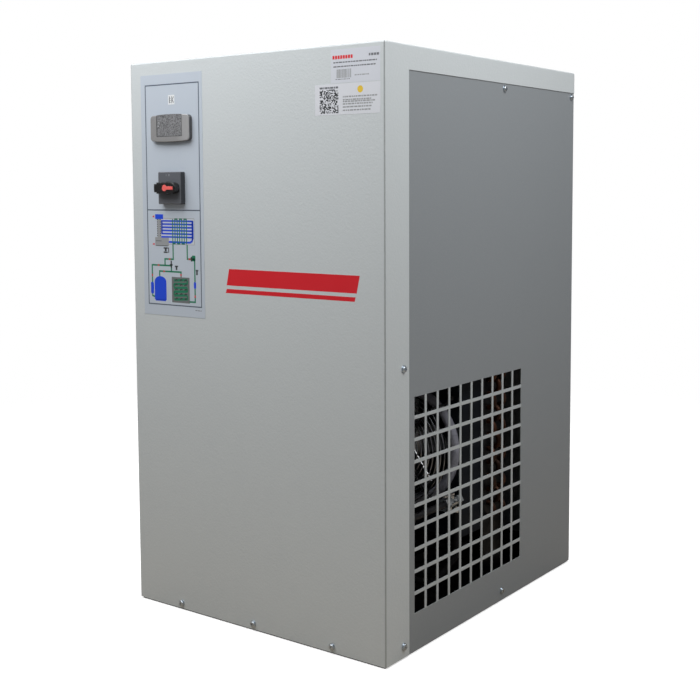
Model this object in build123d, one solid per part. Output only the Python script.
from build123d import *
import math
import os

# Refrigerated compressed-air dryer: a floor-standing cabinet with its cold circuit inside.
# Millimetres. X runs to the right, Y to the rear, Z up. The origin is the centre of the base
# pan's underside. Each sub-part is written to parts/NODE.step.

# ---------------------------------------------------------------- cabinet, driving dimensions
WIDTH, DEPTH, HEIGHT = 555.0, 645.0, 975.0
SHEET = 1.2  # cover and panels
FRAME_SHEET = 1.5  # pan, posts, shelf
CLEAR = 0.2  # between neighbouring sheets
BEND = 3.0  # outer bend radius of the cover
PANEL_BEND = 2.4
FLOOR_GAP = 3.0  # panels hang this far above the floor
SIDE, FRONT, REAR = WIDTH / 2, -DEPTH / 2, DEPTH / 2
FRONT_FLANGE = 65.0  # cover flange beside the front face
SKIRT_Z = 936.0  # lower edge of the cover's skirt
PANEL_TOP = 955.0
PANEL_FLANGE = 14.0
PANEL_HEM = 2.9  # depth of a side panel's front edge
PANEL_GAP = 2.0  # slot between cover flange and side panel
PANEL_X = SIDE - SHEET - CLEAR  # outer face of a side panel
REAR_PANEL_Y = REAR - SHEET - CLEAR  # outer face of the rear panel
POST_X = PANEL_X - SHEET - 0.3
POST_TOP = 934.0
PAN_HEIGHT = 42.0
PAN_FLOOR = 2.0
SHELF_Z = 484.0

# ---------------------------------------------------------------- grilles and fasteners
HOLE, PITCH = 30.4, 36.1
GRILLE_BOTTOM, GRILLE_COUNT = 65.5, 10
OUTLET_GRILLE, INTAKE_GRILLE = 81.8, 230.0  # first hole behind the front face, right and left
ANCHOR_X, ANCHOR_Y, ANCHOR_R = 235.0, 280.0, 6.0
SHANK_R, SHANK_HOLE_R, SHANK_LENGTH = 2.4, 2.6, 12.0
HEAD_R, HEAD_HEIGHT, WASHER_R, WASHER_T = 5.0, 3.4, 6.2, 0.9

# ---------------------------------------------------------------- front controls
OVERLAY_X, OVERLAY_Z, OVERLAY_T = (-251.0, -102.0), (530.0, 952.0), 0.4
FACE = FRONT - OVERLAY_T  # front of the overlay
SWITCH_X, SWITCH_Z = -172.8, 754.5
SWITCH_PLATE, SWITCH_PLATE_T = (55.0, 56.0), 11.0
SWITCH_HOLE_R, SWITCH_SHAFT_R = 11.0, 5.0
RUNNING = 0.05  # radial clearance of a running fit
CONTROL_X, CONTROL_Z = -173.2, 858.0
CONTROL_SIZE, CONTROL_T = (93.6, 43.0), 8.0
CONTROL_BOW = 2.6  # how far the bezel's long sides bulge
WINDOW_X, WINDOW_LOW = (-204.0, -143.5), 844.0
CASE_SIZE, CASE_DEPTH = (72.0, 28.0), 62.0
KEY_R, KEY_SPACING, KEY_Z = 3.0, 26.0, 850.5
BOX_X, BOX_Z, BOX_DEPTH = (-262.0, -92.0), (690.0, 940.0), 112.0

# ---------------------------------------------------------------- condenser and fan
COND_X, COND_Z = (5.0, 250.0), (140.0, 470.0)
COND_Y = (FRONT + 342.0, FRONT + 408.0)
TUBE_PITCH, TUBE_R, BEND_OUT = 25.0, 4.8, 13.0
ROW_PITCH, TUBE_ROWS, TUBE_COUNT = 17.0, 3, 13
FIRST_TUBE = (COND_Y[0] + 16.0, COND_Z[0] + 18.0)  # lowest tube of the front row
TOP_TUBE_Z = FIRST_TUBE[1] + (TUBE_COUNT - 1) * TUBE_PITCH
SHROUD_Y = FRONT + 266.0  # front face of the shroud
FAN_X, FAN_Z = 140.0, 294.0
RING_R, MOUTH_R, COLLAR = 90.0, 108.0, 9.0
GUARD_Y = FRONT + 221.0
GUARD_RING_PITCH, GUARD_INNER, GUARD_OUTER = 8.0, 42.0, 112.0
GUARD_FOOT_R = 131.0
MOTOR_R, MOTOR_LENGTH, MOTOR_SHAFT_R = 36.0, 58.0, 4.0
BLADES, HUB_R, BLADE_TIP, BLADE_PITCH = 5, 30.0, 85.0, 30.0
HUB_Y = (FRONT + 242.0, FRONT + 268.0)

# ---------------------------------------------------------------- compressor
COMP_X, COMP_Y, COMP_R = -140.0, 90.0, 88.0
COMP_Z, COMP_SEAM = (26.0, 290.0), 165.0
SHELL_T = 3.0
FOOT_X, FOOT_Y = 98.0, 62.0  # half spacing of the grommets

# ---------------------------------------------------------------- cold circuit and drain
EX_X, EX_Y, EX_Z = (0.0, 180.0), (-70.0, 150.0), (506.0, 886.0)
JACKET = 20.0
PORT_X, PORT_Z = (35.0, 145.0), 836.0
PIPE_R, PIPE_BORE = 24.0, 20.0
PORT_R, PORT_MOUTH, THREAD_R, THREAD_LENGTH = 31.0, REAR + 35.0, 22.42, 28.0
ACC_X, ACC_Y, ACC_R, ACC_Z = -190.0, -60.0, 32.0, (60.0, 200.0)
DRIER_X, DRIER_Y, DRIER_R, DRIER_Z = -40.0, -110.0, 20.0, (190.0, 300.0)
MANIFOLD_X = (-62.0, COND_X[0] - FRAME_SHEET - BEND_OUT - 8.0)
DRAIN_X, DRAIN_Z, DRAIN_FALL_Y = 250.0, 211.0, FRONT + 74.0
DRAIN_VALVE_Y = (FRONT + 208.0, FRONT + 258.0)
LEVER_Y, LEVER_Z = DRAIN_VALVE_Y[0] + 28.0, DRAIN_Z + 13.0
SOLENOID_X, SOLENOID_Y, SOLENOID_Z = 120.0, FRONT + 215.0, 66.0
HOSE_R = 6.0
OUTLET_X, OUTLET_Z, SPIGOT_R = 225.0, 70.0, 5.0
GLAND_X, GLAND_Z, GLAND_BORE = -200.0, 880.0, 6.5


# ---------------------------------------------------------------- helpers
def block(x, y, z):
    """A box from its low and high limits along each axis."""
    limits = (x, y, z)
    centre = [(low + high) / 2 for low, high in limits]
    return Pos(*centre) * Box(*[high - low for low, high in limits])


def rod(axis, centre, radius, length):
    """A cylinder centred on a point, along X, Y or Z."""
    turn = {"X": Rot(0, 90, 0), "Y": Rot(90, 0, 0), "Z": Rot(0, 0, 0)}[axis]
    return Pos(*centre) * turn * Cylinder(radius, length)


def span(axis, start, end_value, radius):
    """A cylinder from a point to a coordinate further along its axis."""
    i = "XYZ".index(axis)
    centre = list(start)
    centre[i] = (start[i] + end_value) / 2
    return rod(axis, centre, radius, abs(end_value - start[i]))


def pipe(points, radius, bend):
    """A round bar along straight runs joined by tangent arcs."""
    path = FilletPolyline(*points, radius=bend)
    section = Plane(origin=path @ 0, z_dir=path % 0) * Circle(radius)
    return sweep(section, path=path)


def edges_at(shape, axis, **near):
    """Edges parallel to an axis that lie at the given coordinates."""
    found = shape.edges().filter_by(axis)
    for name, value in near.items():
        found = [e for e in found if abs(getattr(e.center(), name) - value) < 0.01]
    return found


def write(name, *shapes):
    """Writes one node, as one solid or a group of separate ones."""
    solids = [s for shape in shapes for s in shape.solids()]
    export_step(solids[0] if len(solids) == 1 else Compound(children=solids), f"parts/{name}.step")


def left_of(shape):
    """The mirror image on the cabinet's left side."""
    return mirror(shape, about=Plane.YZ)


# ---------------------------------------------------------------- fasteners
def screw_places():
    """Head seats of the cabinet screws: point and outward direction."""
    places = [((x, FRONT, 12.5), (0, -1, 0)) for x in (-170.0, 0.0, 170.0)]
    for side in (1, -1):
        out = (side, 0, 0)
        for z in (22.0, 470.0):
            places.append(((side * SIDE, FRONT + 49.0, z), out))
        for from_front, z in ((368.0, 20.5), (368.0, 926.5), (632.0, 927.5)):
            places.append(((side * PANEL_X, FRONT + from_front, z), out))
        for z in (60.0, 470.0, 900.0):
            places.append(((side * 268.0, REAR, z), (0, 1, 0)))
        places.append(((side * 150.0, REAR, 948.0), (0, 1, 0)))
    return places


def cabinet_screw():
    """A pan head screw with a captive washer and a cross recess, its head towards +Z."""
    washer = Pos(0, 0, WASHER_T / 2) * Cylinder(WASHER_R, WASHER_T)
    head = Pos(0, 0, WASHER_T + HEAD_HEIGHT / 2) * Cylinder(HEAD_R, HEAD_HEIGHT)
    head = fillet(head.edges().group_by(Axis.Z)[-1], 2.0)
    shank = Pos(0, 0, -SHANK_LENGTH / 2) * Cylinder(SHANK_R, SHANK_LENGTH)
    top = WASHER_T + HEAD_HEIGHT
    cross = Pos(0, 0, top) * (Box(4.6, 1.0, 3.2) + Box(1.0, 4.6, 3.2))
    return washer + head + shank - cross


def cabinet_screws():
    screw = cabinet_screw()
    return [Plane(origin=p, z_dir=out) * screw for p, out in screw_places()]


def drilled(shape):
    """The sheet with a clearance hole for every cabinet screw that meets it."""
    bit = Cylinder(SHANK_HOLE_R, 2 * SHANK_LENGTH + 6)
    return shape - [Plane(origin=p, z_dir=out) * bit for p, out in screw_places()]


# ---------------------------------------------------------------- enclosure
def base_pan():
    x, y0, y1 = POST_X - FRAME_SHEET - CLEAR, FRONT + 3.3, REAR - 4.5
    tray = block((-x, x), (y0, y1), (0, PAN_HEIGHT))
    inner_x = x - FRAME_SHEET
    tray -= block(
        (-inner_x, inner_x), (y0 + FRAME_SHEET, y1 - FRAME_SHEET), (PAN_FLOOR, PAN_HEIGHT + 1)
    )
    for side_x in (-ANCHOR_X, ANCHOR_X):
        for side_y in (-ANCHOR_Y, ANCHOR_Y):
            tray -= rod("Z", (side_x, side_y, 0), ANCHOR_R, 3 * PAN_FLOOR)
    return drilled(tray)


def front_top_cover():
    """Front face and top in one sheet, with side flanges and a skirt round the top."""

    def hood(inset, radius):
        x = SIDE - inset
        solid = block((-x, x), (FRONT + inset, REAR - inset), (FLOOR_GAP - inset, HEIGHT - inset))
        rounded = solid.edges().filter_by(Axis.Z) + solid.edges().group_by(Axis.Z)[-1]
        return fillet(rounded, radius)

    cover = hood(0, BEND) - hood(SHEET, BEND - SHEET)
    cover -= block((-SIDE, SIDE), (FRONT + FRONT_FLANGE, REAR), (0, SKIRT_Z))
    width, height = CASE_SIZE
    cover -= Pos(CONTROL_X, FRONT, CONTROL_Z) * Box(width + 1, 4 * SHEET, height + 1)
    cover -= rod("Y", (SWITCH_X, FRONT, SWITCH_Z), SWITCH_HOLE_R, 4 * SHEET)
    return drilled(cover)


def side_panel(grille_start):
    """A right-hand panel: flanged at the rear, hemmed at the front, its top under the skirt."""
    y0, y1 = FRONT + FRONT_FLANGE + PANEL_GAP, REAR
    panel = block((PANEL_X - PANEL_FLANGE, PANEL_X), (y0, y1), (FLOOR_GAP, PANEL_TOP))
    panel = fillet(edges_at(panel, Axis.Z, X=PANEL_X), PANEL_BEND)
    inside = block(
        (PANEL_X - PANEL_FLANGE - 1, PANEL_X - SHEET), (y0 + SHEET, y1 - SHEET), (0, PANEL_TOP + 1)
    )
    panel -= fillet(edges_at(inside, Axis.Z, X=PANEL_X - SHEET), PANEL_BEND - SHEET)
    panel -= block((PANEL_X - 30, SIDE), (REAR - 4.0, REAR + 1), (SKIRT_Z - CLEAR, PANEL_TOP + 1))
    panel -= block((PANEL_X - 30, PANEL_X - PANEL_HEM), (y0 - 1, y0 + 10), (0, HEIGHT))
    middle = (GRILLE_COUNT - 1) * PITCH / 2 + HOLE / 2
    centre = (PANEL_X, FRONT + grille_start + middle, GRILLE_BOTTOM + middle)
    panel -= grille(Plane(origin=centre, x_dir=(0, 1, 0), z_dir=(1, 0, 0)), GRILLE_COUNT)
    return drilled(panel)


def grille(plane, count):
    """A square field of square holes, as a tool to cut from a sheet."""
    return [
        extrude(plane * spot * Rectangle(HOLE, HOLE), amount=4 * SHEET, both=True)
        for spot in GridLocations(PITCH, PITCH, count, count)
    ]


def rear_panel():
    panel = block(
        (-PANEL_X + SHEET + PANEL_BEND / 2, PANEL_X - SHEET - PANEL_BEND / 2),
        (REAR_PANEL_Y - SHEET, REAR_PANEL_Y),
        (FLOOR_GAP, PANEL_TOP),
    )
    for x in PORT_X:
        panel -= rod("Y", (x, REAR_PANEL_Y, PORT_Z), PORT_R + 1.5, 10)
    panel -= rod("Y", (GLAND_X, REAR_PANEL_Y, GLAND_Z), 10.2, 10)
    panel -= rod("Y", (OUTLET_X, REAR_PANEL_Y, OUTLET_Z), 8.2, 10)
    return drilled(panel)


def post(leg_x, leg_y, y_out, inward):
    """A right-hand corner post: an angle whose outer corner stands at POST_X, y_out."""
    y_in = y_out + inward * leg_y
    angle = block((POST_X - leg_x, POST_X), sorted((y_out, y_in)), (FLOOR_GAP, POST_TOP))
    y_wall = sorted((y_out + inward * FRAME_SHEET, y_in + inward))
    angle -= block((POST_X - leg_x - 1, POST_X - FRAME_SHEET), y_wall, (0, HEIGHT))
    return drilled(angle)


def shelf_plate():
    """Carries the heat exchanger; its side flanges hang down."""
    x, y = POST_X - FRAME_SHEET - 2.1, (FRONT + 5.0, REAR - 6.0)
    plate = block((-x, x), y, (SHELF_Z - 20, SHELF_Z + FRAME_SHEET))
    plate -= block((-x + FRAME_SHEET, x - FRAME_SHEET), (y[0] - 1, y[1] + 1), (0, SHELF_Z))
    through = (SHELF_Z - 30, SHELF_Z + 30)
    plate -= block((-130.0, -70.0), (-50.0, 10.0), through)  # suction line
    plate -= block((-60.0, -10.0), (-160.0, -80.0), through)  # capillary
    plate -= block((-245.0, -175.0), (-300.0, -235.0), through)  # wiring
    plate -= rod("Z", (DRAIN_X, DRAIN_FALL_Y, SHELF_Z), 12.0, 60.0)
    return drilled(plate)


# ---------------------------------------------------------------- labels and front controls
def control_overlay():
    sheet = block(OVERLAY_X, (FACE, FRONT), OVERLAY_Z)
    width, height = CASE_SIZE
    sheet -= Pos(CONTROL_X, FRONT, CONTROL_Z) * Box(width + 1, 4, height + 1)
    return sheet - rod("Y", (SWITCH_X, FRONT, SWITCH_Z), SWITCH_HOLE_R, 4)


def cabinet_labels():
    thick = (FRONT - 0.2, FRONT)
    return [
        block((175.0, 269.0), thick, (915.5, 967.0)),
        block((143.3, 269.3), thick, (867.0, 914.5)),
    ]


def bezel_outline():
    """Rounded rectangle with bowed long sides, drawn in X and Z about its centre."""
    w, h = CONTROL_SIZE[0] / 2, CONTROL_SIZE[1] / 2
    tall = h + CONTROL_BOW
    top = ThreePointArc((-w, h), (0, tall), (w, h))
    bottom = ThreePointArc((w, -h), (0, -tall), (-w, -h))
    face = make_face([top, Line((w, h), (w, -h)), bottom, Line((-w, -h), (-w, h))])
    return fillet(face.vertices(), 6.0)


def controller_bezel():
    plane = Plane(origin=(CONTROL_X, FACE, CONTROL_Z), x_dir=(1, 0, 0), z_dir=(0, -1, 0))
    bezel = extrude(plane * bezel_outline(), amount=CONTROL_T)
    bezel = fillet(bezel.edges().group_by(Axis.Y)[0], 1.6)
    bezel -= block(WINDOW_X, (FACE - CONTROL_T - 1, FACE - CONTROL_T + 3.0), (WINDOW_LOW, 900.0))
    for key in key_places():
        bezel -= rod("Y", (key[0], FACE - CONTROL_T, key[1]), KEY_R + 0.15, 14.0)
    return bezel


def key_places():
    middle = sum(WINDOW_X) / 2
    return [(middle - KEY_SPACING / 2, KEY_Z), (middle + KEY_SPACING / 2, KEY_Z)]


def controller_window():
    """Smoked front plate in the bezel's recess, trimmed to the bezel's bowed top."""
    plane = Plane(origin=(CONTROL_X, FACE, CONTROL_Z), x_dir=(1, 0, 0), z_dir=(0, -1, 0))
    outline = extrude(plane * bezel_outline(), amount=CONTROL_T - 0.4)
    gap = 0.5
    slot = block(
        (WINDOW_X[0] + gap, WINDOW_X[1] - gap),
        (FACE - CONTROL_T, FACE - CONTROL_T + 3.0),
        (WINDOW_LOW + gap, 900.0),
    )
    window = outline & slot
    for key in key_places():
        window -= rod("Y", (key[0], FACE - CONTROL_T, key[1]), KEY_R + 0.15, 14.0)
    return window


def controller_key(place):
    key = span("Y", (place[0], FACE - CONTROL_T + 0.3, place[1]), FACE - 2.2, KEY_R)
    return fillet(key.edges().group_by(Axis.Y)[0], 0.3)


def controller_case():
    width, height = CASE_SIZE
    case = block(
        (CONTROL_X - width / 2, CONTROL_X + width / 2),
        (FACE + 0.05, FRONT + CASE_DEPTH),
        (CONTROL_Z - height / 2, CONTROL_Z + height / 2),
    )
    rib = Pos(CONTROL_X, FRONT + CASE_DEPTH - 6, CONTROL_Z) * Box(width - 8, 14, height - 8)
    return case + Pos(0, 3, 0) * rib


def switch_plate():
    width, height = SWITCH_PLATE
    y = FACE - SWITCH_PLATE_T
    plate = Pos(SWITCH_X, (FACE + y) / 2, SWITCH_Z) * Box(width, SWITCH_PLATE_T, height)
    plate = fillet(plate.edges().filter_by(Axis.Y), 2.0)
    plate = chamfer(plate.edges().group_by(Axis.Y)[0], 1.2)
    return plate - rod("Y", (SWITCH_X, FRONT, SWITCH_Z), SWITCH_SHAFT_R + 0.4, 40)


HANDLE_BACK = FACE - SWITCH_PLATE_T - 0.3
HANDLE_T, HANDLE_HALF, HANDLE_R = 12.0, 25.5, 9.8


def switch_handle():
    """A grip bar that points left, towards its off mark, with a recess for the red slide."""
    front = HANDLE_BACK - HANDLE_T
    plane = Plane(origin=(SWITCH_X, HANDLE_BACK, SWITCH_Z), x_dir=(1, 0, 0), z_dir=(0, -1, 0))
    bar = Pos(HANDLE_HALF - HANDLE_R, 0) * Circle(HANDLE_R)
    bar += Pos(-2.0, 0) * Rectangle(2 * (HANDLE_HALF - HANDLE_R) + 4.0, 2 * HANDLE_R)
    bar += Pos(-HANDLE_HALF + 4.0, 0) * Rectangle(8.0, 2 * HANDLE_R - 5.0)
    grip = extrude(plane * bar, amount=HANDLE_T)
    grip = fillet(grip.edges().group_by(Axis.Y)[0], 1.6)
    base = extrude(plane * Circle(HANDLE_R + 1.5), amount=3.0)
    handle = base + grip
    nub = block(
        (SWITCH_X - HANDLE_HALF - 3.5, SWITCH_X - HANDLE_HALF + 1),
        (HANDLE_BACK - 8.0, HANDLE_BACK - 3.0),
        (SWITCH_Z - 3.6, SWITCH_Z + 3.6),
    )
    handle += nub
    handle -= Pos(0, -0.01, 0) * slide_body(0.15, front - 2)
    return handle - rod("Y", (SWITCH_X, HANDLE_BACK, SWITCH_Z), SWITCH_SHAFT_R - 1, 10)


def slide_body(extra, front):
    """The keyhole-shaped red slide, grown by extra for its pocket."""
    back = HANDLE_BACK - HANDLE_T + 6.5
    shape = Pos(1.0, 0) * Circle(5.6 + extra)
    shape += Pos(11.0, 0) * Rectangle(20.0 + 2 * extra, 5.6 + 2 * extra)
    plane = Plane(origin=(SWITCH_X, back + extra, SWITCH_Z), x_dir=(1, 0, 0), z_dir=(0, -1, 0))
    return extrude(plane * shape, amount=back + extra - front)


def switch_padlock_slide():
    slide = slide_body(0, HANDLE_BACK - HANDLE_T - 0.8)
    slide = fillet(slide.edges().group_by(Axis.Y)[0], 0.5)
    hasp = rod("Z", (SWITCH_X + 15.0, HANDLE_BACK - HANDLE_T + 3.2, SWITCH_Z), 1.6, 20)
    return slide - hasp


def switch_shaft():
    start = (SWITCH_X, HANDLE_BACK - 4.9, SWITCH_Z)
    tip = span("Y", start, HANDLE_BACK, SWITCH_SHAFT_R - 1)
    return tip + span("Y", (SWITCH_X, HANDLE_BACK, SWITCH_Z), FRONT + 45.0, SWITCH_SHAFT_R)


def switch_body():
    """Contact block behind the front sheet, with a terminal row above and below."""
    back, front = FRONT + 62.0, FRONT + SHEET + 0.2
    body = block((SWITCH_X - 24, SWITCH_X + 24), (front, back), (SWITCH_Z - 20, SWITCH_Z + 20))
    for z in (SWITCH_Z - 24, SWITCH_Z + 24):
        for i in range(4):
            x = SWITCH_X - 18 + 12 * i
            body += block((x - 4.6, x + 4.6), (front + 22, back - 6), (z - 5, z + 5))
    return body - span("Y", (SWITCH_X, front - 1, SWITCH_Z), FRONT + 46.0, SWITCH_SHAFT_R + RUNNING)


def electric_box():
    """Tray behind the front sheet that encloses the switch and the controller."""
    y = (FRONT + 3.4, FRONT + BOX_DEPTH)
    tray = block(BOX_X, y, BOX_Z)
    tray -= block(
        (BOX_X[0] + SHEET, BOX_X[1] - SHEET),
        (y[0] - 1, y[1] - SHEET),
        (BOX_Z[0] + SHEET, BOX_Z[1] - SHEET),
    )
    tray -= rod("Y", (GLAND_X, y[1], GLAND_Z), HOSE_R + 1.0, 10)
    tray -= rod("Z", (-225.0, FRONT + 50.0, BOX_Z[0]), HOSE_R + 1.0, 10)
    return tray


def terminal_block():
    """A rail on the tray's back wall with a row of clamps."""
    wall, z = FRONT + BOX_DEPTH - SHEET, 815.0
    rail = block((-250.0, -104.0), (wall - 4, wall), (z - 17, z + 17))
    clamps = [
        block((x, x + 5.6), (wall - 36, wall - 4), (z - 22, z + 22)) for x in range(-240, -168, 6)
    ]
    notches = [
        rod("Y", (x + 2.8, wall - 36, z + dz), 1.8, 12) for x in range(-240, -168, 6) for dz in (-15, 15)
    ]
    return [rail] + [clamp - notches for clamp in clamps]


# ---------------------------------------------------------------- condenser and fan
def condenser_core():
    return block(COND_X, COND_Y, (COND_Z[0] + 2, COND_Z[1] - 2))


def condenser_end_plates():
    """Two channels that stand on the pan and hold the finned core."""
    plates = []
    for x, out in ((COND_X[0], -1), (COND_X[1], 1)):
        wall = block(sorted((x, x + out * FRAME_SHEET)), COND_Y, (PAN_FLOOR, COND_Z[1]))
        foot = block(
            sorted((x, x - out * 22.0)), COND_Y, (PAN_FLOOR, PAN_FLOOR + FRAME_SHEET)
        )
        plates.append(wall + foot)
    return plates


def condenser_bends():
    """Copper return bends on both ends, staggered so that each row is one serpentine."""
    bends = []
    for row in range(TUBE_ROWS):
        y = FIRST_TUBE[0] + row * ROW_PITCH
        for tube in range(TUBE_COUNT - 1):
            z = FIRST_TUBE[1] + tube * TUBE_PITCH
            at_right = (tube + row) % 2 == 0
            if at_right:
                bends.append(return_bend(COND_X[1] + FRAME_SHEET, 1, y, z))
            elif tube < TUBE_COUNT - 2 or row > 0:
                bends.append(return_bend(COND_X[0] - FRAME_SHEET, -1, y, z))
    return bends


def return_bend(x, out, y, z):
    """A half loop between two tubes, with short straight ends."""
    r = TUBE_PITCH / 2
    reach = x + out * BEND_OUT
    points = [(x, y, z), (reach, y, z), (reach, y, z + 2 * r), (x, y, z + 2 * r)]
    return pipe(points, TUBE_R, r - 0.6)


def fan_shroud():
    """Box between the condenser and the fan, with a bell mouth round the fan."""
    x = (COND_X[0] - FRAME_SHEET, COND_X[1] + FRAME_SHEET)
    y = (SHROUD_Y, COND_Y[0])
    shroud = block(x, y, COND_Z)
    shroud -= block(
        (x[0] + SHEET, x[1] - SHEET), (y[0] + SHEET, y[1] + 1), (COND_Z[0] + SHEET, COND_Z[1] - SHEET)
    )
    return shroud + bell_mouth() - rod("Y", (FAN_X, SHROUD_Y, FAN_Z), RING_R, 4 * COLLAR)


def bell_mouth():
    """The rounded ring that leads air into the fan: its lip rolls outwards towards the front."""
    reach = (MOUTH_R - RING_R) / 2
    middle = RING_R + reach
    profile = Pos(middle, 0) * (Rectangle(2 * reach, 2 * COLLAR) & Ellipse(reach, COLLAR))
    front_half = profile & Pos(middle, -COLLAR / 2) * Rectangle(2 * reach, COLLAR)
    ring = revolve(Plane.XY * front_half, axis=Axis.Y)
    return Pos(FAN_X, SHROUD_Y, FAN_Z) * ring


def fan_guard():
    """Concentric rings on four arms that reach back to the shroud's corners."""
    axis = (FAN_X, FAN_Z)
    plane = Plane(origin=(axis[0], GUARD_Y, axis[1]), x_dir=(1, 0, 0), z_dir=(0, -1, 0))
    wire = 2.2
    rings = Circle(GUARD_INNER) - Circle(15.0)
    radius = GUARD_INNER + GUARD_RING_PITCH
    while radius <= GUARD_OUTER:
        rings += Circle(radius + wire / 2) - Circle(radius - wire / 2)
        radius += GUARD_RING_PITCH
    guard = extrude(plane * rings, amount=wire)
    for quarter in range(4):
        turn = Rot(0, 45 + 90 * quarter, 0)
        arm = block((GUARD_INNER - 4, GUARD_OUTER + 3), (0, wire), (-wire, wire))
        leg = block((GUARD_OUTER, GUARD_OUTER + 3), (0, SHROUD_Y - GUARD_Y), (-wire, wire))
        foot = block(
            (GUARD_OUTER, GUARD_FOOT_R + 6), (SHROUD_Y - GUARD_Y - wire, SHROUD_Y - GUARD_Y), (-5, 5)
        )
        screw = rod("Y", (GUARD_FOOT_R, SHROUD_Y - GUARD_Y - wire - 2, 0), 4.5, 4)
        guard += Pos(FAN_X, GUARD_Y, FAN_Z) * turn * (arm + leg + foot + screw)
    return guard


def fan_motor():
    """Motor can carried by the guard's centre plate, with a finned rear end."""
    back = GUARD_Y - 2.2 - 0.05
    can = span("Y", (FAN_X, back, FAN_Z), back - MOTOR_LENGTH, MOTOR_R)
    can = fillet(can.edges().group_by(Axis.Y)[0], 6.0)
    for i in range(3):
        can -= span("Y", (FAN_X, back - 8 - 8 * i, FAN_Z), back - 11 - 8 * i, MOTOR_R + 1) - span(
            "Y", (FAN_X, back, FAN_Z), back - 60, MOTOR_R - 2
        )
    boss = span("Y", (FAN_X, back, FAN_Z), back + 8, 13.0)
    bore = span("Y", (FAN_X, back + 9, FAN_Z), back - 32, MOTOR_SHAFT_R + RUNNING)
    return can + boss - bore


def fan_shaft():
    return span("Y", (FAN_X, GUARD_Y - 30, FAN_Z), HUB_Y[1] - 4, MOTOR_SHAFT_R)


def fan_blade():
    """Pressed hub with cambered blades, trimmed to a true circle at the tips."""
    hub = span("Y", (FAN_X, HUB_Y[0], FAN_Z), HUB_Y[1], HUB_R)
    hub = fillet(hub.edges().group_by(Axis.Y)[0], 4.0)
    hub -= span("Y", (FAN_X, HUB_Y[0] + 3, FAN_Z), HUB_Y[1] + 1, HUB_R - 2.5)
    hub += span("Y", (FAN_X, HUB_Y[0] + 1, FAN_Z), HUB_Y[1] - 2, 9.0)
    half, camber, thick = 27.0, 4.0, 1.6
    section = make_face(
        [
            ThreePointArc((-half, 0), (0, camber), (half, 0)),
            Line((half, 0), (half, thick)),
            ThreePointArc((half, thick), (0, camber + thick), (-half, thick)),
            Line((-half, thick), (-half, 0)),
        ]
    )
    middle = sum(HUB_Y) / 2
    blade = extrude(Plane.XY * Rot(0, 0, BLADE_PITCH) * section, amount=BLADE_TIP + 10)
    blade &= Rot(90, 0, 0) * Cylinder(BLADE_TIP, 200)
    blade -= Rot(90, 0, 0) * Cylinder(HUB_R - 1.5, 200)
    fan = hub
    for i in range(BLADES):
        fan += Pos(FAN_X, middle, FAN_Z) * Rot(0, 360 / BLADES * i, 0) * Pos(0, -3, 0) * blade
    return fan - rod("Y", (FAN_X, middle, FAN_Z), MOTOR_SHAFT_R, 60)


# ---------------------------------------------------------------- compressor
def shell_body(inset):
    """The compressor can as a solid, inset from its outer surface."""
    z0, z1 = COMP_Z[0] + inset, COMP_Z[1] - inset
    can = Pos(COMP_X, COMP_Y, (z0 + z1) / 2) * Cylinder(COMP_R - inset, z1 - z0)
    can = fillet(can.edges().group_by(Axis.Z)[0], 40.0 - inset)
    return fillet(can.edges().group_by(Axis.Z)[-1], 50.0 - inset)


def compressor_shells():
    """Lower and upper can halves that meet at the welded seam; the feet are welded to the lower."""
    hollow = shell_body(0) - shell_body(SHELL_T)
    around = (COMP_X - 200, COMP_X + 200), (COMP_Y - 200, COMP_Y + 200)
    lower = hollow & block(*around, (0, COMP_SEAM))
    upper = hollow & block(*around, (COMP_SEAM, 400))
    lower += ring_z(COMP_R - 1, COMP_R + 4, COMP_SEAM - 4, COMP_SEAM) + compressor_feet()
    upper += ring_z(COMP_R - 1, COMP_R + 4, COMP_SEAM, COMP_SEAM + 3)
    stub_y = ACC_Y + 66.0
    upper += span("Y", (ACC_X + 10, stub_y, 228), COMP_Y - 50, 8.0) - shell_body(SHELL_T / 2)
    return lower, upper


def ring_z(inner, outer, z0, z1):
    ring = span("Z", (COMP_X, COMP_Y, z0), z1, outer)
    return ring - span("Z", (COMP_X, COMP_Y, z0 - 1), z1 + 1, inner)


def foot_places():
    return [(COMP_X + sx * FOOT_X, COMP_Y + sy * FOOT_Y) for sx in (-1, 1) for sy in (-1, 1)]


def compressor_feet():
    z0, z1 = COMP_Z[0] - 4, COMP_Z[0]
    plate = Pos(COMP_X, COMP_Y, (z0 + z1) / 2) * Box(2 * FOOT_X + 36, 2 * FOOT_Y + 36, z1 - z0)
    plate = fillet(plate.edges().filter_by(Axis.Z), 16.0)
    for x, y in foot_places():
        plate -= rod("Z", (x, y, z0), 9.0, 20)
    return plate - rod("Z", (COMP_X, COMP_Y, z0), 30.0, 20)


def compressor_grommets():
    """Rubber mounts that clamp the foot plate above and below."""
    grommets = []
    for x, y in foot_places():
        below = span("Z", (x, y, PAN_FLOOR), COMP_Z[0] - 4, 14.0)
        neck = span("Z", (x, y, COMP_Z[0] - 5), COMP_Z[0] + 1, 9.0)
        above = span("Z", (x, y, COMP_Z[0]), COMP_Z[0] + 6, 12.5)
        grommets.append(below + neck + above - rod("Z", (x, y, 20), 4.2, 60))
    return grommets


def compressor_bolts():
    """Studs that stand on the pan, each with its washer and nut."""
    top = COMP_Z[0] + 6
    bolts = []
    for x, y in foot_places():
        stud = span("Z", (x, y, PAN_FLOOR), top + 12, 4.0)
        washer = span("Z", (x, y, top), top + 1.5, 9.0)
        nut = extrude(Pos(x, y, top + 1.5) * RegularPolygon(7.5, 6), amount=6.5)
        bolts.append(stud + washer + nut)
    return bolts


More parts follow.
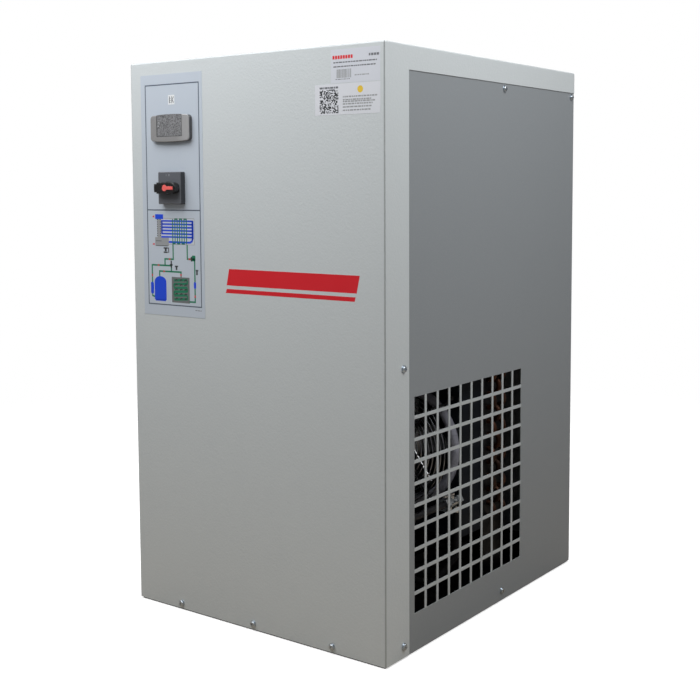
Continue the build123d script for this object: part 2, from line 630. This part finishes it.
def compressor_terminal_cover():
    """Plastic box over the terminals, its back shaped to the can."""
    y0 = COMP_Y + COMP_R - 12
    cover = block((COMP_X - 34, COMP_X + 34), (y0, y0 + 44), (70, 140))
    cover = fillet(cover.edges().group_by(Axis.Y)[-1], 6.0)
    return cover - span("Z", (COMP_X, COMP_Y, 0), 300, COMP_R + 0.2)


def compressor_stator_block():
    """Stator stack below the crankcase disc that carries the shaft's bearing."""
    stator = ring_z(41.0, 72.0, 82.0, 146.0)
    crankcase = ring_z(9.0 + RUNNING, COMP_R - SHELL_T - 0.3, 158.0, 176.0)
    cylinder = rod("Y", (COMP_X, COMP_Y - 46, 190), 18.0, 40) & block(
        (COMP_X - 50, COMP_X + 50), (COMP_Y - 80, COMP_Y), (175, 220)
    )
    pillars = [
        span("Z", (COMP_X + 60 * math.cos(a), COMP_Y + 60 * math.sin(a), 145), 159, 5.0)
        for a in (math.radians(90 * i + 45) for i in range(4))
    ]
    block_solid = stator + crankcase + cylinder
    for pillar in pillars:
        block_solid += pillar
    return block_solid


def compressor_rotor():
    """Rotor and crankshaft in one piece, with the eccentric crank on top."""
    rotor = span("Z", (COMP_X, COMP_Y, 80), 148, 40.0)
    shaft = span("Z", (COMP_X, COMP_Y, 60), 182, 9.0)
    web = span("Z", (COMP_X, COMP_Y, 182), 188, 15.0)
    pin = span("Z", (COMP_X + 8, COMP_Y, 188), 204, 6.0)
    return rotor + shaft + web + pin


# ---------------------------------------------------------------- cold circuit
def exchanger_core():
    core = block(EX_X, EX_Y, EX_Z)
    return fillet(core.edges().filter_by(Axis.Z), 6.0)


def exchanger_jacket():
    """Two foam shells round the core, split across the depth."""
    outer = block(
        (EX_X[0] - JACKET, EX_X[1] + JACKET),
        (EX_Y[0] - JACKET, EX_Y[1] + JACKET),
        (SHELF_Z + FRAME_SHEET, EX_Z[1] + JACKET),
    )
    outer = fillet(outer.edges().filter_by(Axis.Z), 12.0)
    jacket = outer - exchanger_core()
    for x in PORT_X:
        jacket -= span("Y", (x, EX_Y[1] - 5, PORT_Z), EX_Y[1] + 60, PIPE_R + 0.2)
    jacket -= span("Y", (165.0, EX_Y[0] + 5, 522.0), EX_Y[0] - 60, HOSE_R + 0.3)
    jacket -= span("X", (5.0, -20.0, 560.0), -60, 6.3)
    jacket -= span("X", (5.0, -60.0, 540.0), -60, 3.0)
    split = (EX_Y[0] + EX_Y[1]) / 2
    wide = (-100, 300), (400, 1000)
    return [
        jacket & block(wide[0], (-300, split), wide[1]),
        jacket & block(wide[0], (split, 300), wide[1]),
    ]


def air_pipe(x):
    """Pipe from the core through the rear panel, ending in a threaded hexagon socket."""
    socket_back = REAR_PANEL_Y - 30
    tube = span("Y", (x, EX_Y[1], PORT_Z), socket_back + 1, PIPE_R)
    plane = Plane(origin=(x, REAR + 6, PORT_Z), x_dir=(1, 0, 0), z_dir=(0, 1, 0))
    socket = span("Y", (x, socket_back, PORT_Z), REAR + 7, PORT_R)
    hexagon = extrude(plane * RegularPolygon(PORT_R + 3, 6), amount=PORT_MOUTH - REAR - 6)
    hexagon &= span("Y", (x, REAR, PORT_Z), PORT_MOUTH, PORT_R + 2)
    bore = span("Y", (x, EX_Y[1] - 1, PORT_Z), PORT_MOUTH + 1, PIPE_BORE)
    thread = span("Y", (x, PORT_MOUTH - THREAD_LENGTH, PORT_Z), PORT_MOUTH + 1, THREAD_R)
    return tube + socket + hexagon - bore - thread


def accumulator():
    """Liquid separator on a foot, ahead of the compressor."""
    can = span("Z", (ACC_X, ACC_Y, ACC_Z[0]), ACC_Z[1], ACC_R)
    can = fillet(can.edges().filter_by(GeomType.CIRCLE), 13.0)
    foot = span("Z", (ACC_X, ACC_Y, PAN_FLOOR), ACC_Z[0] + 2, 6.0)
    return can + foot + span("Z", (ACC_X, ACC_Y, PAN_FLOOR), PAN_FLOOR + 3, 24.0)


def suction_line():
    """From the exchanger to the separator, and from there to the compressor."""
    top = ACC_Z[1]
    cold = [
        (EX_X[0], -20, 560),
        (-100, -20, 560),
        (-100, -20, 330),
        (ACC_X - 10, ACC_Y, 330),
        (ACC_X - 10, ACC_Y, top),
    ]
    warm = [(ACC_X + 10, ACC_Y, top), (ACC_X + 10, ACC_Y, 228), (ACC_X + 10, ACC_Y + 66, 228)]
    return [pipe(cold, 6.0, 24.0), pipe(warm, 6.0, 18.0)]


def discharge_line():
    """From the top of the compressor to the manifold beside the condenser."""
    y, z = FIRST_TUBE[0], TOP_TUBE_Z
    points = [(COMP_X, COMP_Y, COMP_Z[1]), (COMP_X, COMP_Y, z), (COMP_X, y, z), (MANIFOLD_X[0], y, z)]
    return pipe(points, 5.0, 24.0)


def pressure_switches():
    """A brass manifold in the discharge line with three switches facing forward."""
    centre, z = FIRST_TUBE[0], TOP_TUBE_Z
    bar = block(MANIFOLD_X, (centre - 8, centre + 8), (z - 8, z + 8))
    bar += span("X", (MANIFOLD_X[1] - 1, centre, z), COND_X[0] - FRAME_SHEET, 5.0)
    for i in range(3):
        x = MANIFOLD_X[0] + 9 + 15 * i
        y = centre - 8
        bar += span("Y", (x, y + 1, z), y - 12, 4.0)
        bar += span("Y", (x, y - 12, z), y - 36, 6.8)
    return bar


def liquid_line():
    """From the condenser's lowest tube to the foot of the filter drier."""
    y, z = FIRST_TUBE
    points = [
        (COND_X[0] - FRAME_SHEET, y, z),
        (DRIER_X, y, z),
        (DRIER_X, DRIER_Y, z),
        (DRIER_X, DRIER_Y, DRIER_Z[0]),
    ]
    return pipe(points, 4.0, 14.0)


def filter_drier():
    """Spun copper drier: a straight body with coned ends."""
    z0, z1 = DRIER_Z
    cone = 22.0
    body = span("Z", (DRIER_X, DRIER_Y, z0 + cone), z1 - cone, DRIER_R)
    body += Pos(DRIER_X, DRIER_Y, z0 + cone / 2) * Cone(5.0, DRIER_R, cone)
    return body + Pos(DRIER_X, DRIER_Y, z1 - cone / 2) * Cone(DRIER_R, 5.0, cone)


COIL_R, COIL_TURNS, COIL_PITCH, CAPILLARY_R = 26.0, 5, 4.2, 1.5


def capillary_tube():
    """Thin copper tube wound into a coil above the drier, then led to the exchanger."""
    z0 = DRIER_Z[1] + 24.0
    z1 = z0 + COIL_TURNS * COIL_PITCH
    start = (DRIER_X + COIL_R, DRIER_Y, z0)
    winding = Pos(DRIER_X, DRIER_Y, z0) * Helix(COIL_PITCH, z1 - z0, COIL_R)
    section = Plane(origin=winding @ 0, z_dir=winding % 0) * Circle(CAPILLARY_R)
    coil = sweep(section, path=winding, is_frenet=True)
    rise = [(DRIER_X, DRIER_Y, DRIER_Z[1]), (DRIER_X, DRIER_Y, z0 - 6), (start[0] - 4, start[1], z0 - 6)]
    lead = [
        (DRIER_X + COIL_R - 4, DRIER_Y, z1 + 6),
        (DRIER_X, DRIER_Y, z1 + 6),
        (DRIER_X, DRIER_Y, 540),
        (DRIER_X, -60, 540),
        (EX_X[0], -60, 540),
    ]
    return [coil, pipe(rise, CAPILLARY_R, 8.0), pipe(lead, CAPILLARY_R, 10.0)]


def bypass_valve():
    """Hot-gas valve beside the exchanger: body, bonnet and sealed cap over its spindle."""
    x, y, z = -60.0, 60.0, SHELF_Z + FRAME_SHEET
    foot = block((x - 16, x + 16), (y - 12, y + 12), (z, z + 3))
    body = foot + span("Z", (x, y, z + 2), z + 38, 13.0)
    body += extrude(Pos(x, y, z + 38) * RegularPolygon(17.0, 6), amount=10)
    body += span("Z", (x, y, z + 47), z + 62, 15.0)
    body += span("Z", (x, y, z + 61), z + 78, 8.0)
    return body + span("X", (x, y, z + 22), EX_X[0] - JACKET, 5.0)


# ---------------------------------------------------------------- condensate drain
def drain_valve_body():
    """Strainer and ball valve in one nickelled body, with its outlet turned down."""
    y0, y1 = DRAIN_VALVE_Y
    axis = (DRAIN_X, y0, DRAIN_Z)
    body = span("Y", axis, y1 - 4, 8.5)
    for y in (y0, y1 - 12):
        nut = Plane(origin=(DRAIN_X, y, DRAIN_Z), x_dir=(1, 0, 0), z_dir=(0, 1, 0))
        body += extrude(nut * RegularPolygon(12.0, 6), amount=12.0)
    body += span("Z", (DRAIN_X, y0 + 17, DRAIN_Z), DRAIN_Z - 17, 7.0)
    body += span("Z", (DRAIN_X, y1 - 6, DRAIN_Z), DRAIN_Z - 21, 6.0)
    body += span("Z", (DRAIN_X, LEVER_Y, DRAIN_Z), LEVER_Z - 2, 5.5)
    body -= span("Z", (DRAIN_X, LEVER_Y, LEVER_Z - 10), LEVER_Z, 2.5 + RUNNING)
    return body - span("Y", (DRAIN_X, y0 - 1, DRAIN_Z), y0 + 8, HOSE_R)


def drain_valve_lever():
    """Quarter-turn lever on a vertical stem, lying along the valve while it is open."""
    stem = span("Z", (DRAIN_X, LEVER_Y, LEVER_Z - 9), LEVER_Z + 3, 2.5)
    hub = span("Z", (DRAIN_X, LEVER_Y, LEVER_Z), LEVER_Z + 3, 6.0)
    arm = block((DRAIN_X - 4, DRAIN_X + 4), (LEVER_Y - 26, LEVER_Y), (LEVER_Z, LEVER_Z + 2.5))
    arm = fillet(arm.edges().filter_by(Axis.Z).group_by(Axis.Y)[0], 3.9)
    return stem + hub + arm


def solenoid_body():
    """Drain valve on the pan's side of the fan, its core tube standing up."""
    x, y, z = SOLENOID_X, SOLENOID_Y, SOLENOID_Z
    body = block((x - 16, x + 16), (y - 13, y + 13), (z - 12, z + 12))
    body += span("X", (x - 24, y, z), x + 24, 7.0)
    body += span("Z", (x, y, z + 11), z + 58, 7.0)
    stand = block((x - 12, x + 12), (y - 13, y + 13), (PAN_FLOOR, PAN_FLOOR + 2))
    stand += block((x - 12, x + 12), (y - 1, y + 1), (PAN_FLOOR, z - 11))
    return body + stand - span("Z", (x, y, z + 4), z + 46, 5.0)


def solenoid_coil():
    x, y, z = SOLENOID_X, SOLENOID_Y, SOLENOID_Z
    coil = block((x - 19, x + 19), (y - 17, y + 17), (z + 13, z + 51))
    coil = fillet(coil.edges().filter_by(Axis.Z), 4.0)
    plug = block((x - 13, x + 13), (y - 38, y - 16), (z + 18, z + 44))
    return coil + plug - rod("Z", (x, y, z), 7.1, 160)


def solenoid_plunger():
    """Iron core of the drain valve, 3 mm short of its stop when closed."""
    z = SOLENOID_Z + 6
    return span("Z", (SOLENOID_X, SOLENOID_Y, z), z + 37, 5.0 - RUNNING)


def drain_tube():
    """From the exchanger's foot down behind the front post, then back to the drain valve."""
    points = [
        (165, EX_Y[0], 522),
        (165, DRAIN_FALL_Y + 60, 522),
        (200, DRAIN_FALL_Y, 522),
        (DRAIN_X, DRAIN_FALL_Y, 522),
        (DRAIN_X, DRAIN_FALL_Y, DRAIN_Z),
        (DRAIN_X, DRAIN_VALVE_Y[0] + 8, DRAIN_Z),
    ]
    return pipe(points, HOSE_R, 22.0)


def drain_hoses():
    """From the ball valve to the solenoid valve, and from there to the rear outlet."""
    y = DRAIN_VALVE_Y[1] - 6
    feed = [
        (DRAIN_X, y, DRAIN_Z - 21),
        (DRAIN_X, y, 110),
        (225, SOLENOID_Y, SOLENOID_Z),
        (SOLENOID_X + 24, SOLENOID_Y, SOLENOID_Z),
    ]
    away = [
        (SOLENOID_X - 24, SOLENOID_Y, SOLENOID_Z),
        (62, SOLENOID_Y, SOLENOID_Z),
        (58, SOLENOID_Y + 60, 40),
        (60, 130, 40),
        (140, 205, 44),
        (OUTLET_X, 250, OUTLET_Z),
        (OUTLET_X, REAR_PANEL_Y - SHEET - 14, OUTLET_Z),
    ]
    return [pipe(feed, HOSE_R, 20.0), pipe(away, HOSE_R, 14.0)]


def drain_outlet():
    """Bulkhead fitting in the rear panel with a plain spigot for the customer's hose."""
    inside = REAR_PANEL_Y - SHEET
    y = (inside - 14, REAR + 24.0)
    fitting = span("Y", (OUTLET_X, inside, OUTLET_Z), REAR_PANEL_Y, 8.0)
    plane = Plane(origin=(OUTLET_X, inside - 8, OUTLET_Z), x_dir=(1, 0, 0), z_dir=(0, 1, 0))
    fitting += extrude(plane * RegularPolygon(12.0, 6), amount=8.0)
    plane = Plane(origin=(OUTLET_X, REAR_PANEL_Y, OUTLET_Z), x_dir=(1, 0, 0), z_dir=(0, 1, 0))
    fitting += extrude(plane * RegularPolygon(12.0, 6), amount=6.0)
    fitting += span("Y", (OUTLET_X, y[0], OUTLET_Z), y[1], SPIGOT_R)
    return fitting - span("Y", (OUTLET_X, y[0] - 1, OUTLET_Z), y[1] + 1, 3.2)


# ---------------------------------------------------------------- wiring
def cable_gland():
    """Cable entry in the rear panel; its dome nut grips the customer's cable."""
    inside = REAR_PANEL_Y - SHEET
    centre = (GLAND_X, REAR_PANEL_Y, GLAND_Z)
    gland = span("Y", (GLAND_X, inside - 9, GLAND_Z), REAR_PANEL_Y, 10.0)
    back = Plane(origin=(GLAND_X, inside - 5, GLAND_Z), x_dir=(1, 0, 0), z_dir=(0, 1, 0))
    front = Plane(origin=centre, x_dir=(1, 0, 0), z_dir=(0, 1, 0))
    gland += extrude(back * RegularPolygon(14.0, 6), amount=5.0)
    gland += extrude(front * RegularPolygon(14.0, 6), amount=8.0)
    dome = span("Y", (GLAND_X, REAR_PANEL_Y + 7, GLAND_Z), REAR_PANEL_Y + 24, 12.0)
    gland += fillet(dome.edges().group_by(Axis.Y)[-1], 4.0)
    return gland - rod("Y", centre, GLAND_BORE, 90)


def wiring_harness():
    """Mains lead from the gland, and the leads down to the compressor and the fan."""
    box_back = FRONT + BOX_DEPTH
    mains = [
        (GLAND_X, REAR_PANEL_Y - SHEET - 12, GLAND_Z),
        (GLAND_X - 18, 200, GLAND_Z - 12),
        (GLAND_X - 18, 20, GLAND_Z + 8),
        (GLAND_X, -110, GLAND_Z),
        (GLAND_X, box_back - 20, GLAND_Z),
    ]
    trunk_x, trunk_y = -225.0, FRONT + 50.0
    down = [
        (trunk_x, trunk_y, BOX_Z[0] + 20),
        (trunk_x, trunk_y, 560),
        (trunk_x + 12, trunk_y, 430),
        (-245, -150, 330),
        (-250, 20, 300),
        (-245, 200, 260),
        (COMP_X, 205, 240),
        (COMP_X, 205, 140.2),
    ]
    to_fan = [
        (trunk_x + 20, trunk_y, 440),
        (-60, FRONT + 70, 400),
        (60, FRONT + 100, 390),
        (FAN_X, FRONT + 150, FAN_Z + 80),
        (FAN_X, FRONT + 182, FAN_Z + 80),
        (FAN_X, FRONT + 182, FAN_Z + MOTOR_R),
    ]
    return [pipe(mains, HOSE_R, 30.0), pipe(down, HOSE_R, 26.0), pipe(to_fan, 3.0, 14.0)]


# ---------------------------------------------------------------- all nodes
def main():
    os.makedirs("parts", exist_ok=True)
    right_front = post(25.0, 61.5, FRONT + 1.6, 1)
    right_rear = post(25.0, 25.0, REAR_PANEL_Y - SHEET - CLEAR, -1)
    lower, upper = compressor_shells()
    keys = key_places()
    nodes = {
        "base_pan": [base_pan()],
        "front_top_cover": [front_top_cover()],
        "right_side_panel": [side_panel(OUTLET_GRILLE)],
        "left_side_panel": [left_of(side_panel(INTAKE_GRILLE))],
        "rear_panel": [rear_panel()],
        "front_posts": [right_front, left_of(right_front)],
        "rear_posts": [right_rear, left_of(right_rear)],
        "shelf_plate": [shelf_plate()],
        "cabinet_screws": cabinet_screws(),
        "control_overlay": [control_overlay()],
        "cabinet_labels": cabinet_labels(),
        "controller_bezel": [controller_bezel()],
        "controller_window": [controller_window()],
        "controller_set_key": [controller_key(keys[0])],
        "controller_test_key": [controller_key(keys[1])],
        "controller_case": [controller_case()],
        "switch_plate": [switch_plate()],
        "switch_handle": [switch_handle()],
        "switch_padlock_slide": [switch_padlock_slide()],
        "switch_shaft": [switch_shaft()],
        "switch_body": [switch_body()],
        "electric_box": [electric_box()],
        "terminal_block": terminal_block(),
        "condenser_core": [condenser_core()],
        "condenser_end_plates": condenser_end_plates(),
        "condenser_bends": condenser_bends(),
        "fan_shroud": [fan_shroud()],
        "fan_guard": [fan_guard()],
        "fan_motor": [fan_motor()],
        "fan_blade": [fan_blade()],
        "fan_shaft": [fan_shaft()],
        "compressor_lower_shell": [lower],
        "compressor_upper_shell": [upper],
        "compressor_grommets": compressor_grommets(),
        "compressor_bolts": compressor_bolts(),
        "compressor_terminal_cover": [compressor_terminal_cover()],
        "compressor_stator_block": [compressor_stator_block()],
        "compressor_rotor": [compressor_rotor()],
        "exchanger_core": [exchanger_core()],
        "exchanger_jacket": exchanger_jacket(),
        "air_inlet_pipe": [air_pipe(PORT_X[0])],
        "air_outlet_pipe": [air_pipe(PORT_X[1])],
        "accumulator": [accumulator()],
        "suction_line": suction_line(),
        "discharge_line": [discharge_line()],
        "pressure_switches": [pressure_switches()],
        "liquid_line": [liquid_line()],
        "filter_drier": [filter_drier()],
        "capillary_tube": capillary_tube(),
        "bypass_valve": [bypass_valve()],
        "drain_tube": [drain_tube()],
        "drain_valve_body": [drain_valve_body()],
        "drain_valve_lever": [drain_valve_lever()],
        "solenoid_body": [solenoid_body()],
        "solenoid_coil": [solenoid_coil()],
        "solenoid_plunger": [solenoid_plunger()],
        "drain_hoses": drain_hoses(),
        "drain_outlet": [drain_outlet()],
        "cable_gland": [cable_gland()],
        "wiring_harness": wiring_harness(),
    }
    for name, shapes in nodes.items():
        write(name, *shapes)


main()
